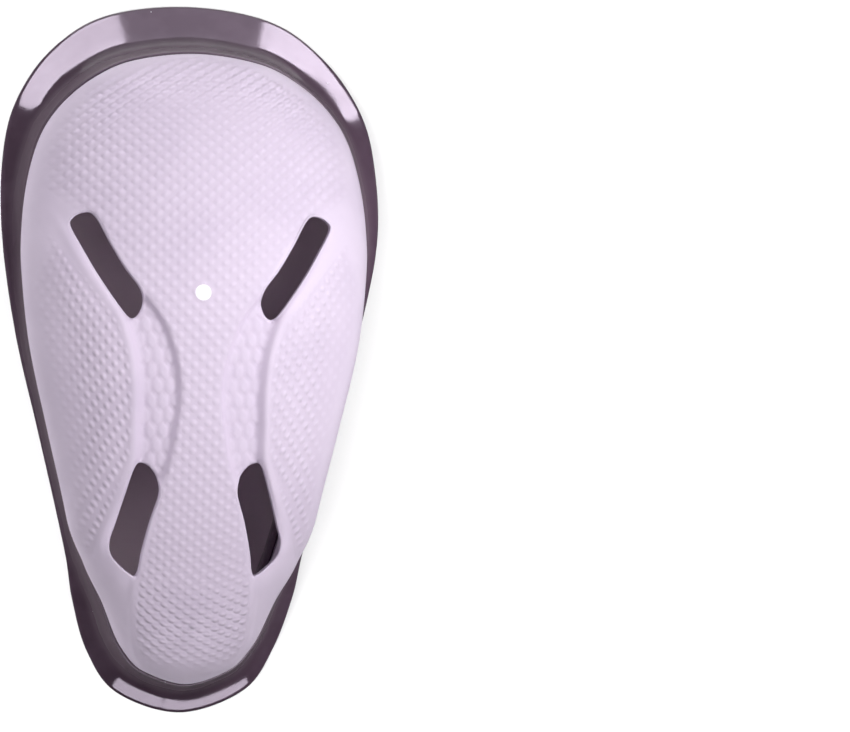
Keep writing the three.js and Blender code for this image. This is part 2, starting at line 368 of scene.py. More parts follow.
@dataclass
class Dome:
    """The shell's plain outer surface and its spread: arc lengths across a section and along the middle."""

    outline: Outline
    crown_along: float = 12.0
    crown_height: float = 48.0
    upper_bow: tuple[float, float] = (2.0, 2.0)
    lower_bow: tuple[float, float] = (1.75, 1.9)
    section_bow: tuple[float, float] = (2.3, 2.2)
    line_places: int = 4001
    rows: int = 700
    angles: int = 260

    def __post_init__(self) -> None:
        """Works out the tables that turn arc lengths into places on the surface and back."""
        ring = self.outline.ring(np.linspace(0.0, 0.5, self.line_places))
        line = ring.points(ring.flare, ring.widest)
        self._line = line[np.argsort(line[:, 1])]
        low, high = self._line[0, 1], self._line[-1, 1]
        turn = np.linspace(0.0, np.pi, self.rows)
        self._along = 0.5 * (low + high) - 0.5 * (high - low) * np.cos(turn)
        half, base, rise = self._section(self._along)
        angle = np.linspace(0.0, 0.5 * np.pi, self.angles)
        across = half[:, None] * np.sin(angle)
        height = base[:, None] + rise[:, None] * self._bow(np.sin(angle), self.section_bow)
        pieces = np.hypot(np.diff(across, axis=1), np.diff(height, axis=1))
        self._arc = np.hstack([np.zeros((self.rows, 1)), np.cumsum(pieces, axis=1)])
        self._reach = self._arc[:, -1]
        shelf = 2.0 * np.arange(self.rows)[:, None]
        known = (self._arc / np.maximum(self._reach, 1e-9)[:, None] + shelf).ravel()
        wanted = (np.linspace(0.0, 1.0, self.angles) + shelf).ravel()
        angles = np.tile(angle, self.rows)
        self._angle = np.interp(wanted, known, angles).reshape(self.rows, self.angles)
        run = np.hypot(np.diff(self._along), np.diff(base + rise))
        run = np.concatenate([[0.0], np.cumsum(run)])
        self._run = run - np.interp(self.crown_along, self._along, run)

    @staticmethod
    def _bow(share: Array, curve: tuple[float, float]) -> Array:
        """A bow from 1 at the middle to 0 at the end: one less the share's power, to a root."""
        held = np.minimum(np.abs(share), 1.0)
        return (1.0 - held ** curve[0]) ** (1.0 / curve[1])

    def _section(self, along: Array) -> tuple[Array, Array, Array]:
        """Sizes of the sections, under a crown line of two bows that meet at the crown.

        Args:
            along: Places along the guard.

        Returns:
            Half widths, heights of the widest line, and rises above it.
        """
        half = np.interp(along, self._line[:, 1], self._line[:, 0])
        base = np.interp(along, self._line[:, 1], self._line[:, 2])
        narrow, wide = self._line[0], self._line[-1]
        up = self._bow((along - self.crown_along) / (wide[1] - self.crown_along), self.upper_bow)
        down = self._bow((self.crown_along - along) / (self.crown_along - narrow[1]), self.lower_bow)
        upper = wide[2] + (self.crown_height - wide[2]) * up
        lower = narrow[2] + (self.crown_height - narrow[2]) * down
        crown = np.where(along >= self.crown_along, upper, lower)
        return np.maximum(half, 1e-6), base, np.maximum(crown - base, 0.0)

    def limits(self) -> tuple[float, float, float]:
        """Lowest and highest arc length along the middle, and the longest across."""
        return float(self._run[0]), float(self._run[-1]), float(self._reach.max())

    def contains(self, spread: Array) -> Array:
        """Tells which places of the spread lie within the widest line."""
        reach = np.interp(spread[..., 1], self._run, self._reach, left=-1.0, right=-1.0)
        return np.abs(spread[..., 0]) < reach

    def spread(self, plan: Array) -> Array:
        """Arc lengths of places in plan.

        Across, it is the length of the section's curve from the middle. Along, it is the length of the
        middle line from the crown.

        Args:
            plan: Places across and along, one to a row.

        Returns:
            Arc lengths across and along.
        """
        half, _, _ = self._section(plan[:, 1])
        angle = np.arcsin(np.clip(np.abs(plan[:, 0]) / half, 0.0, 1.0))
        row = np.interp(plan[:, 1], self._along, np.arange(self.rows))
        length = from_table(self._arc, row, angle / (0.5 * np.pi) * (self.angles - 1))
        return np.stack([np.sign(plan[:, 0]) * length, np.interp(plan[:, 1], self._along, self._run)], axis=1)

    def surface(self, spread: Array) -> Array:
        """Points of the dome at arc lengths across and along.

        The height over a section is its widest line's height plus its rise times a bow of the share of
        the half width, so the section is an arch that stands upright on the widest line.

        Args:
            spread: Arc lengths across and along, one to a row.

        Returns:
            Points, one to a row.
        """
        along = np.interp(spread[:, 1], self._run, self._along)
        row = np.interp(along, self._along, np.arange(self.rows))
        reach = np.interp(along, self._along, self._reach)
        share = np.clip(np.abs(spread[:, 0]) / np.maximum(reach, 1e-9), 0.0, 1.0)
        part = np.sin(from_table(self._angle, row, share * (self.angles - 1)))
        half, base, rise = self._section(along)
        height = base + rise * self._bow(part, self.section_bow)
        return np.stack([np.sign(spread[:, 0]) * half * part, along, height], axis=1)


@dataclass
class MeshMaker:
    """Gathers arrays of points and faces, and makes one mesh of them."""

    points: list[Array] = field(default_factory=list)
    faces: list[Array] = field(default_factory=list)
    count: int = 0

    def add_points(self, points: Array) -> Array:
        """Adds points.

        Args:
            points: Points in an array of any shape.

        Returns:
            Their numbers in the mesh, in the same shape.
        """
        shape = points.shape[:-1]
        flat = points.reshape(-1, 3)
        self.points.append(flat)
        first = self.count
        self.count += len(flat)
        return np.arange(first, self.count).reshape(shape)

    def add_faces(self, faces: Array) -> None:
        """Adds faces with the same number of corners, one to a row of point numbers."""
        self.faces.append(faces)

    def build(self, name: str) -> tuple[bpy.types.Object, Array]:
        """Makes the object, at the origin and in metres, with smooth faces and no unused points.

        Args:
            name: Name of the object and its mesh.

        Returns:
            The object, and the numbers of the gathered points that it kept, in order.
        """
        points = np.vstack(self.points)
        kept = np.unique(np.concatenate([f.ravel() for f in self.faces]))
        number = np.full(len(points), -1)
        number[kept] = np.arange(len(kept))
        mesh = bpy.data.meshes.new(name)
        corners = [corner for block in self.faces for corner in number[block].tolist()]
        mesh.from_pydata((points[kept] * MM).tolist(), [], corners)
        mesh.polygons.foreach_set("use_smooth", np.ones(len(mesh.polygons), bool))
        mesh.update()
        made = bpy.data.objects.new(name, mesh)
        bpy.context.scene.collection.objects.link(made)
        return made, kept


def add_attribute(made: bpy.types.Object, name: str, values: Array) -> None:
    """Stores one number for each point of a mesh under a name that a material can read."""
    layer = made.data.attributes.new(name, "FLOAT", "POINT")
    layer.data.foreach_set("value", values.astype(np.float32))


class NodeSheet:
    """A material's nodes, with short ways to add and join them."""

    def __init__(self, name: str) -> None:
        """Starts a material that holds a Principled shader and its output.

        Args:
            name: The material's name.
        """
        self.material = bpy.data.materials.new(name)
        self.material.use_nodes = True
        self.tree = self.material.node_tree
        self.shader = self.tree.nodes["Principled BSDF"]

    def feed(self, node: bpy.types.Node, sources: dict[str | int, object]) -> None:
        """Joins a node's inputs to other sockets, or sets them to plain values.

        Args:
            node: The node.
            sources: Sockets or values, by the inputs' names or numbers.
        """
        for key, source in sources.items():
            if isinstance(source, Socket):
                self.tree.links.new(source, node.inputs[key])
            else:
                node.inputs[key].default_value = source

    def add(self, kind: str, sources: dict[str | int, object], **settings: object) -> bpy.types.Node:
        """Adds a node.

        Args:
            kind: The kind of node.
            sources: What its inputs are fed.
            settings: Its own properties.

        Returns:
            The node.
        """
        node = self.tree.nodes.new(kind)
        for key, value in settings.items():
            setattr(node, key, value)
        self.feed(node, sources)
        return node

    def math(self, operation: str, *sources: object) -> Socket:
        """One sum of numbers: the operation's name and its sources, sockets or plain numbers."""
        return self.add("ShaderNodeMath", dict(enumerate(sources)), operation=operation).outputs[0]

    def ramp(self, source: Socket, band: Span, to: Span) -> Socket:
        """Maps a number from one range smoothly to another, held at both ends.

        Args:
            source: The number.
            band: The first range.
            to: The second range.

        Returns:
            The mapped number.
        """
        keys = ("Value", "From Min", "From Max", "To Min", "To Max")
        sources = dict(zip(keys, (source, *band, *to)))
        return self.add("ShaderNodeMapRange", sources, interpolation_type="SMOOTHSTEP").outputs[0]

    def noise(self, place: Socket, lumps: float, detail: float) -> Socket:
        """Smooth noise round 0.5, with so many lumps to the metre."""
        sources = {"Vector": place, "Scale": lumps, "Detail": detail}
        return self.add("ShaderNodeTexNoise", sources).outputs["Fac"]

    def blend(self, factor: Socket, first: object, second: object) -> Socket:
        """Mixes two colours by a factor: the node's inputs 6 and 7 and its output 2 are its colours."""
        return self.add("ShaderNodeMix", {0: factor, 6: first, 7: second}, data_type="RGBA").outputs[2]

    def bump(self, height: Socket, strength: float, distance: float, **below: Socket) -> Socket:
        """Tilts the surface by a height, over the tilt of another bump where Normal is given."""
        sources = {"Height": height, "Strength": strength, "Distance": distance} | below
        return self.add("ShaderNodeBump", sources).outputs["Normal"]

    def attribute(self, name: str) -> Socket:
        """A number that the mesh stores at its points."""
        return self.add("ShaderNodeAttribute", {}, attribute_name=name).outputs["Fac"]

    def object_place(self) -> Socket:
        """The place on the piece in its own metres."""
        return self.add("ShaderNodeTexCoord", {}).outputs["Object"]

    def distance_in_plan(self, place: Socket, centre: Span) -> Socket:
        """Distance from a centre, seen from above: the root of the sum of two squares.

        Args:
            place: Places in metres.
            centre: The centre across and along, in millimetres.

        Returns:
            The distance in millimetres.
        """
        parts = self.add("ShaderNodeSeparateXYZ", {0: place}).outputs
        steps = [self.math("SUBTRACT", parts[k], centre[k] * MM) for k in (0, 1)]
        total = self.math("ADD", *(self.math("POWER", step, 2.0) for step in steps))
        return self.math("DIVIDE", self.math("SQRT", total), MM)

    def dress(self, colour: Socket, rough: Socket, normal: Socket) -> None:
        """Feeds the shader its colour, its roughness and the surface's tilt."""
        self.feed(self.shader, {"Base Color": colour, "Roughness": rough, "Normal": normal})


@dataclass(frozen=True)
class PlasticFinish:
    """Moulded white plastic with a lilac cast, faint mottling, and painted shade between its grip buttons and
    in its pads' grooves.
    """

    colour: Colour = (0.66, 0.575, 0.70, 1.0)
    # Colour of the painted shade between the grip buttons and in the pads' grooves.
    recess_shade_colour: Colour = (0.47, 0.39, 0.50, 1.0)
    mottle_colour: Colour = (0.60, 0.52, 0.645, 1.0)
    gate_colour: Colour = (0.95, 0.94, 0.96, 1.0)
    stain_colour: Colour = (0.33, 0.29, 0.37, 1.0)
    mottle_lumps: float = 60.0
    mottle_band: Span = (0.42, 0.68)
    mottle_share: float = 0.55
    gate_centre: Span = (0.0, 16.0)
    gate_radius: float = 1.8
    gate_blur: Span = (-0.15, 0.1)
    stain_centre: Span = (-0.3, -61.0)
    stain_core: float = 0.6
    stain_fade: float = 1.7
    stain_share: float = 0.5
    blot_lumps: float = 700.0
    blot_size: float = 1.6
    button_band: Span = (0.04, 0.45)
    crisp_share: float = 0.55
    # Strength and band of the painted shade between the grip buttons.
    between_shade: float = 0.2
    between_shade_band: Span = (0.0, 0.2)
    smear_lumps: float = 220.0
    smear_band: Span = (0.3, 0.7)
    roughness: Span = (0.40, 0.52)
    pit_lumps: float = 1800.0
    pit_depth: float = 0.1
    pit_strength: float = 0.12

    def make(self) -> bpy.types.Material:
        """Builds the material.

        The grip texture's buttons fall from their middles by the distance to the nearest crossing of the
        two stored sets of rows, drawn out by the stored weights. Painted shade darkens the ground between
        them and the pads' grooves that the mesh stores, and the marks are drawn by distance in plan.

        Returns:
            The material.
        """
        sheet = NodeSheet(Slot.WHITE_PLASTIC.value)
        place = sheet.object_place()
        mottle = sheet.noise(place, self.mottle_lumps, 3.0)
        mottle = sheet.ramp(mottle, self.mottle_band, (0.0, self.mottle_share))
        colour = sheet.blend(mottle, self.colour, self.mottle_colour)
        squares = []
        for rows, weight in (("first", "rise"), ("second", "fall")):
            step = sheet.math("PINGPONG", sheet.attribute(rows), 0.5)
            squares.append(sheet.math("POWER", sheet.math("MULTIPLY", step, sheet.attribute(weight)), 2.0))
        off_button = sheet.math("SQRT", sheet.math("ADD", *squares))
        button = sheet.ramp(off_button, self.button_band, (1.0, 0.0))
        grip = sheet.attribute("grip")
        # Painted shade: darker colour between the grip buttons and in the pads' grooves.
        between_shade = sheet.ramp(grip, self.between_shade_band, (0.0, self.between_shade))
        between_shade = sheet.math("MULTIPLY", sheet.math("SUBTRACT", 1.0, button), between_shade)
        between_shade = sheet.math("MAXIMUM", between_shade, sheet.attribute("groove_shade"))
        colour = sheet.blend(between_shade, colour, self.recess_shade_colour)
        blot = sheet.math("MULTIPLY", sheet.noise(place, self.blot_lumps, 2.0), self.blot_size)
        off_stain = sheet.math("ADD", sheet.distance_in_plan(place, self.stain_centre), blot)
        stain_band = (self.stain_core, self.stain_core + self.stain_fade)
        stain = sheet.ramp(off_stain, stain_band, (self.stain_share, 0.0))
        off_gate = sheet.distance_in_plan(place, self.gate_centre)
        gate_band = tuple(self.gate_radius + blur for blur in self.gate_blur)
        gate = sheet.ramp(off_gate, gate_band, (1.0, 0.0))
        outside = sheet.attribute("outside")
        for mark, mark_colour in ((stain, self.stain_colour), (gate, self.gate_colour)):
            colour = sheet.blend(sheet.math("MULTIPLY", mark, outside), colour, mark_colour)
        rough = sheet.ramp(sheet.noise(place, self.smear_lumps, 3.0), self.smear_band, self.roughness)
        pits = sheet.bump(sheet.noise(place, self.pit_lumps, 3.0), self.pit_strength, self.pit_depth * MM)
        raised = sheet.math("MULTIPLY", sheet.math("MULTIPLY", button, grip), self.crisp_share * MM)
        sheet.dress(colour, rough, sheet.bump(raised, 1.0, 1.0, Normal=pits))
        sheet.shader.inputs["Specular IOR Level"].default_value = 0.25
        sheet.shader.inputs["IOR"].default_value = 1.48
        return sheet.material


@dataclass(frozen=True)
class RubberFinish:
    """Glossy dark grey moulded elastomer with faint clouding and a few pale dusty specks; by the shell it is
    matt, and lighter with a dusty film and painted light bounced off the white shell.
    """

    colour: Colour = (0.078, 0.047, 0.072, 1.0)
    cloud_colour: Colour = (0.092, 0.058, 0.086, 1.0)
    # Colour by the shell: a dusty film and painted light bounced off the white shell.
    dust_and_bounce_colour: Colour = (0.135, 0.098, 0.125, 1.0)
    speck_colour: Colour = (0.62, 0.58, 0.64, 1.0)
    cloud_lumps: float = 90.0
    cloud_band: Span = (0.4, 0.65)
    speck_spacing: float = 4.2
    speck_radius: float = 0.16
    speck_blur: Span = (0.6, 1.3)
    bare_share: float = 0.72
    speck_roughness: float = 0.4
    matt_share: float = 0.3
    smear_lumps: float = 140.0
    smear_band: Span = (0.35, 0.7)
    roughness: Span = (0.09, 0.14)
    pit_lumps: float = 500.0
    pit_depth: float = 0.1
    pit_strength: float = 0.1

    def make(self) -> bpy.types.Material:
        """Builds the material.

        Returns:
            The material, with a speck at the middle of a few cells of a Voronoi pattern.
        """
        sheet = NodeSheet(Slot.GREY_RUBBER.value)
        place = sheet.object_place()
        cloud = sheet.ramp(sheet.noise(place, self.cloud_lumps, 3.0), self.cloud_band, (0.0, 1.0))
        by_shell = sheet.attribute("by_shell")
        colour = sheet.blend(cloud, self.colour, self.cloud_colour)
        # Lighter by the shell: partly a dusty film, partly painted light bounced off the white shell.
        colour = sheet.blend(by_shell, colour, self.dust_and_bounce_colour)
        spacing = {"Vector": place, "Scale": 1.0 / (self.speck_spacing * MM), "Randomness": 1.0}
        cells = sheet.add("ShaderNodeTexVoronoi", spacing).outputs
        speck_band = tuple(blur * self.speck_radius / self.speck_spacing for blur in self.speck_blur)
        speck = sheet.ramp(cells["Distance"], speck_band, (1.0, 0.0))
        chance = sheet.add("ShaderNodeSeparateColor", {0: cells["Color"]}).outputs[0]
        speck = sheet.math("MULTIPLY", speck, sheet.math("GREATER_THAN", chance, self.bare_share))
        colour = sheet.blend(speck, colour, self.speck_colour)
        rough = sheet.ramp(sheet.noise(place, self.smear_lumps, 4.0), self.smear_band, self.roughness)
        for share, more in ((speck, self.speck_roughness), (by_shell, self.matt_share)):
            rough = sheet.math("ADD", rough, sheet.math("MULTIPLY", share, more))
        pits = sheet.bump(sheet.noise(place, self.pit_lumps, 2.0), self.pit_strength, self.pit_depth * MM)
        sheet.dress(colour, rough, pits)
        sheet.shader.inputs["Specular IOR Level"].default_value = 0.2
        sheet.shader.inputs["IOR"].default_value = 1.5
        return sheet.material


@dataclass(frozen=True)
class FloorFinish:
    """Pale matt studio floor; the piece under the guard is darker and warmer, painted shade."""

    colour: Colour = (0.5, 0.5, 0.5, 1.0)
    # Painted shade: the darker, warmer colour of the floor piece under the guard.
    painted_shade_floor_colour: Colour = (0.5, 0.4, 0.46, 1.0)

    def make(self, in_shade: bool) -> bpy.types.Material:
        """Builds the plain floor material.

        Args:
            Whether it is for the floor piece under the guard, which takes the painted shade colour.

        Returns:
            The material.
        """
        sheet = NodeSheet("studio_floor_shade" if in_shade else "studio_floor")
        sheet.shader.inputs["Base Color"].default_value = self.painted_shade_floor_colour if in_shade else self.colour
        sheet.shader.inputs["Roughness"].default_value = 0.9
        sheet.shader.inputs["Specular IOR Level"].default_value = 0.1
        return sheet.material


@dataclass
class Border:
    """A closed line where the shell's grid ends: its widest line, or a slot's lip round its own outline."""

    line: Array
    core: Array


@dataclass
class Grid:
    """The shell's grid on its spread surface, cut and fitted at the borders.

    Owner is the number of the border that a point lies on, or -1, and place is where on that border.
    """

    spread: Array
    cells: Array
    blocks: list[Array]
    sides: Array
    owner: Array
    place: Array


@dataclass
class Shell:
    """The white moulded shell: a domed wall with sunken channels, slots and a raised grip texture."""

    outline: Outline
    dome: Dome
    finish: PlasticFinish
    wall: float = 3.0
    pitch: float = 2.26
    steps: int = 4
    block: int = 4
    fit_rounds: int = 14
    fit_reach: int = 4
    edge_places: int = 1000
    slot_places: int = 260
    crest_places: int = 90
    channel_places: int = 400
    lip_radius: float = 0.55
    inner_lip_radius: float = 0.4
    foot_round: float = 0.35
    upright_reach: float = 5.0
    least_upward: float = 0.5
    channel_depth: float = 1.9
    channel_wall: float = 2.0
    channel_ends: tuple[Span, Span] = ((-30.0, -25.0), (19.0, 14.0))
    channel_floor: Span = (0.75, 0.95)
    crest_height: float = 0.52
    crest_width_in: float = 0.9
    crest_width_out: float = 1.2
    crest_fades: Span = (14.0, 10.0)
    swell_height: float = 0.7
    swell_middle: float = 5.0
    swell_width: float = 5.0
    swell_start: Span = (-1.5, 1.5)
    centre_border: float = 1.2
    wide_border: float = 6.0
    wide_border_along: Span = (26.0, 38.0)
    centre_low_end: Span = (-74.0, -66.0)
    panel_border: float = 1.6
    panel_fade: float = 5.0
    faint_fade: float = 3.0
    faint_share: float = 0.32
    panel_grip_height: float = 0.4
    panel_columns_per_mm: float = 0.745
    panel_rows_per_mm: float = 0.62
    panel_row_fall: float = 0.1
    panel_lean: tuple[float, float, float] = (-5.0, 0.118, 0.00475)
    moulded_share: float = 0.5
    button_radius: float = 0.47
    button_level: float = 0.4
    columns_per_mm: float = 0.30
    row_bow: float = 0.013
    row_bow_along: Span = (-20.0, -50.0)
    rise_share: float = 0.32
    rise_along: Span = (12.0, 42.0)
    fall_share: float = 0.26
    fall_along: Span = (-36.0, -60.0)
    step_height: float = 0.35
    step_past: Span = (1.9, 0.5)
    step_ends: tuple[Span, Span] = ((-46.0, -52.0), (-76.0, -68.0))
    pad_height: float = 0.46
    pad_across: float = 2.85
    pad_along: float = 3.45
    pad_groove: float = 0.3
    # Strength of the painted shade in the pads' grooves.
    pad_groove_shade: float = 0.15
    gate_height: float = 0.25
    gate_edge: Span = (0.3, -0.2)

    def build(self) -> bpy.types.Object:
        """Builds and dresses the shell.

        Returns:
            The finished object.
        """
        borders = self._borders()
        grid = self._grid(borders)
        base = self.dome.surface(grid.spread)
        at_edge = grid.owner == EDGE
        ring = self.outline.ring(grid.place[at_edge] / self.edge_places)
        base[at_edge] = ring.points(ring.flare, ring.widest)
        normal = self._normals(base, grid.cells)
        normal[at_edge] = np.hstack([ring.outward, np.zeros((at_edge.sum(), 1))])
        depth = self._channel(base)
        height, stored = self._relief(base, grid.spread, depth)
        maker = MeshMaker()
        outer = maker.add_points(base + normal * (height - depth)[:, None])
        inner = maker.add_points(base - self._through(base, normal, grid, borders))
        maker.add_faces(outer[grid.cells])
        for block in grid.blocks:
            maker.add_faces(inner[block[:, ::-1]])
        for number, border in enumerate(borders):
            points = np.nonzero(grid.owner == number)[0]
            if number == EDGE:
                wall = self._edge_wall(ring)
            else:
                wall = self._slot_wall(border, grid.place[points], normal[points, 2], depth[points])
            rows = np.vstack([outer[points][None], maker.add_points(wall), inner[points][None]])
            column = np.searchsorted(points, grid.sides[grid.owner[grid.sides[:, 0]] == number])
            start, end = column[:, 0], column[:, 1]
            faces = np.stack([rows[:-1, end], rows[:-1, start], rows[1:, start], rows[1:, end]], axis=-1)
            maker.add_faces(faces.reshape(-1, 4))
        made, kept = maker.build("guard_shell")
        plain = np.zeros(maker.count - len(base))
        for name, values in stored.items():
            add_attribute(made, name, np.concatenate([values, plain])[kept])
        made.data.materials.append(self.finish.make())
        return made

    def _through(self, base: Array, normal: Array, grid: Grid, borders: list[Border]) -> Array:
        """Steps from the outer surface to the inner one.

        Away from the slots a step is the wall's thickness against the outward direction. At a slot it goes
        straight down, by the thickness over the direction's upward part, because the slots are moulded
        upright. Between, the two are mixed by the distance to the slot.

        Args:
            base: Points of the plain dome.
            normal: Outward directions there.
            grid: The shell's grid.
            borders: The lines where the grid ends.

        Returns:
            Steps, one to a row.
        """
        upright = np.zeros(len(base))
        for border in borders[EDGE + 1:]:
            low = border.line.min(axis=0) - self.upright_reach
            high = border.line.max(axis=0) + self.upright_reach
            near = np.nonzero(np.all((grid.spread > low) & (grid.spread < high), axis=1))[0]
            _, gap = nearest_on_line(grid.spread[near], border.line, True)
            upright[near] = np.maximum(upright[near], ease(gap, self.upright_reach, 0.0))
        down = np.zeros_like(base)
        down[:, 2] = self.wall / np.maximum(normal[:, 2], self.least_upward)
        return down * upright[:, None] + normal * (self.wall * (1.0 - upright))[:, None]

    def _borders(self) -> list[Border]:
        """The widest line and the four slots' lips, on the spread surface.

        A lip's line is the slot's own outline moved out by the lip's radius, square to it.

        Returns:
            The widest line first, then the slots.
        """
        ring = self.outline.ring(np.arange(self.edge_places) / self.edge_places)
        edge = self.dome.spread(ring.points(ring.flare, ring.widest)[:, :2])
        borders = [Border(edge, edge)]
        share = np.arange(self.slot_places) / self.slot_places
        for outline in (UPPER_SLOT, LOWER_SLOT):
            for side in Side:
                plan = spline(np.array(outline) * np.array([side.value, 1.0]), share, True)
                core = self.dome.spread(plan)
                run = np.roll(core, -1, axis=0) - np.roll(core, 1, axis=0)
                out = np.stack([run[:, 1], -run[:, 0]], axis=1) / np.linalg.norm(run, axis=1, keepdims=True)
                out *= np.sign(((core - core.mean(axis=0)) * out).sum())
                borders.append(Border(core + out * self.lip_radius, core))
        return borders

    def _grid(self, borders: list[Border]) -> Grid:
        """Makes the grid: squares turned by 45 degrees on the spread surface, cut and fitted to the borders.

        A point's arc lengths are the difference and the sum of its two counts, times the step over the
        square root of two. A cell is kept where its middle is on the shell. Points at a border move to the
        nearest place on it, and points near it settle at the middle of their neighbours.

        Args:
            borders: The lines where the grid ends.

        Returns:
            The grid.
        """
        low, high, reach = self.dome.limits()
        step = self.pitch / self.steps / np.sqrt(2.0)
        most = int(np.ceil((max(-low, high) + reach) / (2.0 * step) / self.block) + 1) * self.block
        count = np.arange(-most, most + 1)
        i, j = np.meshgrid(count, count, indexing="ij")
        spread = np.stack([(i - j) * step, (i + j) * step], axis=-1)
        middle = spread[:-1, :-1] + np.array([0.0, step])
        kept = self.dome.contains(middle)
        for border in borders[EDGE + 1:]:
            kept &= ~inside_line(middle.reshape(-1, 2), border.line).reshape(kept.shape)
        size = len(count)
        number = np.arange(size * size).reshape(size, size)
        corners = np.stack([number[:-1, :-1], number[1:, :-1], number[1:, 1:], number[:-1, 1:]], axis=-1)
        cells = corners[kept]
        beyond = self._beyond(kept)
        sides = np.vstack([corners[kept & ~beyond[..., k]][:, [k, (k + 1) % 4]] for k in range(4)])
        blocks = self._blocks(kept, corners, number)
        used = np.unique(cells)
        renumber = np.full(size * size, -1)
        renumber[used] = np.arange(len(used))
        cells, sides = renumber[cells], renumber[sides]
        blocks = [renumber[block] for block in blocks]
        flat, owner, place = self._fit(spread.reshape(-1, 2)[used], cells, sides, borders)
        return Grid(flat, cells, blocks, sides, owner, place)

    @staticmethod
    def _beyond(kept: Array) -> Array:
        """Which of a cell's four neighbours are kept, in the order of its sides."""
        padded = np.pad(kept, 1)
        return np.stack([padded[1:-1, :-2], padded[2:, 1:-1], padded[1:-1, 2:], padded[:-2, 1:-1]], axis=-1)

    def _blocks(self, kept: Array, corners: Array, number: Array) -> list[Array]:
        """Faces for the plain inside: one for each full square block of cells, and single cells elsewhere.

        A block's face takes in the points between its corners on each side where the next block is not
        full, so that its sides match the single cells there.

        Args:
            kept: Which cells are kept.
            corners: Each cell's corner numbers.
            number: The numbers of the grid's points.

        Returns:
            Arrays of faces, each with one number of corners.
        """
        n = self.block
        rows = kept.shape[0] // n
        full = kept.reshape(rows, n, rows, n).all(axis=(1, 3))
        single = kept & ~np.repeat(np.repeat(full, n, axis=0), n, axis=1)
        faces = [corners[single]]
        pattern = (~self._beyond(full) * np.array([1, 2, 4, 8])).sum(axis=-1)
        ramp = np.arange(n)
        zero, whole = np.zeros(n, int), np.full(n, n)
        walk = ((ramp, zero), (whole, ramp), (n - ramp, whole), (zero, n - ramp))
        for kind in range(16):
            at_i, at_j = np.nonzero(full & (pattern == kind))
            take = [slice(None) if kind >> k & 1 else slice(0, 1) for k in range(4)]
            step_i = np.concatenate([walk[k][0][take[k]] for k in range(4)])
            step_j = np.concatenate([walk[k][1][take[k]] for k in range(4)])
            if len(at_i):
                faces.append(number[at_i[:, None] * n + step_i, at_j[:, None] * n + step_j])
        return faces

    def _fit(
        self, spread: Array, cells: Array, sides: Array, borders: list[Border]
    ) -> tuple[Array, Array, Array]:
        """Moves the grid's border points onto the borders and settles the points near them.

        Args:
            spread: The grid's points.
            cells: Its cells.
            sides: Its open sides.
            borders: The lines where the grid ends.

        Returns:
            The moved points, each point's border number or -1, and its place on that border.
        """
        count = len(spread)
        ends = np.unique(sides)
        gaps = np.stack([nearest_on_line(spread[ends], b.line, True)[1] for b in borders])
        owner = np.full(count, -1)
        owner[ends] = gaps.argmin(axis=0)
        place = np.zeros(count)
        links = np.vstack([cells[:, [k, (k + 1) % 4]] for k in range(4)])
        near = owner >= 0
        for _ in range(self.fit_reach):
            spreading = near.copy()
            spreading[links[:, 0]] |= near[links[:, 1]]
            spreading[links[:, 1]] |= near[links[:, 0]]
            near = spreading
        local = links[near[links[:, 0]] | near[links[:, 1]]]
        settle = near & (owner < 0)
        bound = owner >= 0
        for turn in range(self.fit_rounds + 1):
            if turn:
                spread[settle] = self._neighbour_mean(spread, local)[settle]
                spread[bound] = self._neighbour_mean(spread, sides)[bound]
            for k, border in enumerate(borders):
                mine = np.nonzero(owner == k)[0]
                place[mine], _ = nearest_on_line(spread[mine], border.line, True)
                spread[mine] = on_line(border.line, place[mine])
        return spread, owner, place

    @staticmethod
    def _neighbour_mean(points: Array, links: Array) -> Array:
        """The mean of each point's linked neighbours.

        Args:
            points: The points, one to a row.
            links: Pairs of their numbers.

        Returns:
            The means, in the points' order.
        """
        both = np.vstack([links, links[:, ::-1]])
        count = len(points)
        number = np.maximum(np.bincount(both[:, 0], minlength=count), 1)
        sums = [np.bincount(both[:, 0], column[both[:, 1]], minlength=count) for column in points.T]
        return np.stack(sums, axis=1) / number[:, None]

    @staticmethod
    def _normals(points: Array, cells: Array) -> Array:
        """Outward directions at the points: the sum of the cross products of their cells' diagonals.

        Args:
            points: The points, one to a row.
            cells: Numbers of each cell's corners.

        Returns:
            Directions of length 1.
        """
        face = np.cross(points[cells[:, 2]] - points[cells[:, 0]], points[cells[:, 3]] - points[cells[:, 1]])
        total = [np.bincount(cells.ravel(), np.repeat(part, 4), minlength=len(points)) for part in face.T]
        normal = np.stack(total, axis=1)
        return normal / np.maximum(np.linalg.norm(normal, axis=1, keepdims=True), 1e-12)

    def _channel(self, base: Array) -> Array:
        """Depth of the sunken channels.

        Across, it eases in past the inner edge and out before the outer edge, over the channel's wall.
        Along, it eases out where the slots take up the channel's ends.

        Args:
            base: Points of the plain dome.

        Returns:
            Depths below it.
        """
        across, along = np.abs(base[:, 0]), base[:, 1]
        edges = spline(np.array(CHANNEL), np.linspace(0.0, 1.0, self.channel_places), False)
        inner, outer = look_up(edges, along)
        half = 0.5 * self.channel_wall
        sides = ease(across, inner - half, inner + half) * ease(across, outer + half, outer - half)
        low, high = (ease(along, *end) for end in self.channel_ends)
        return self.channel_depth * sides * low * high

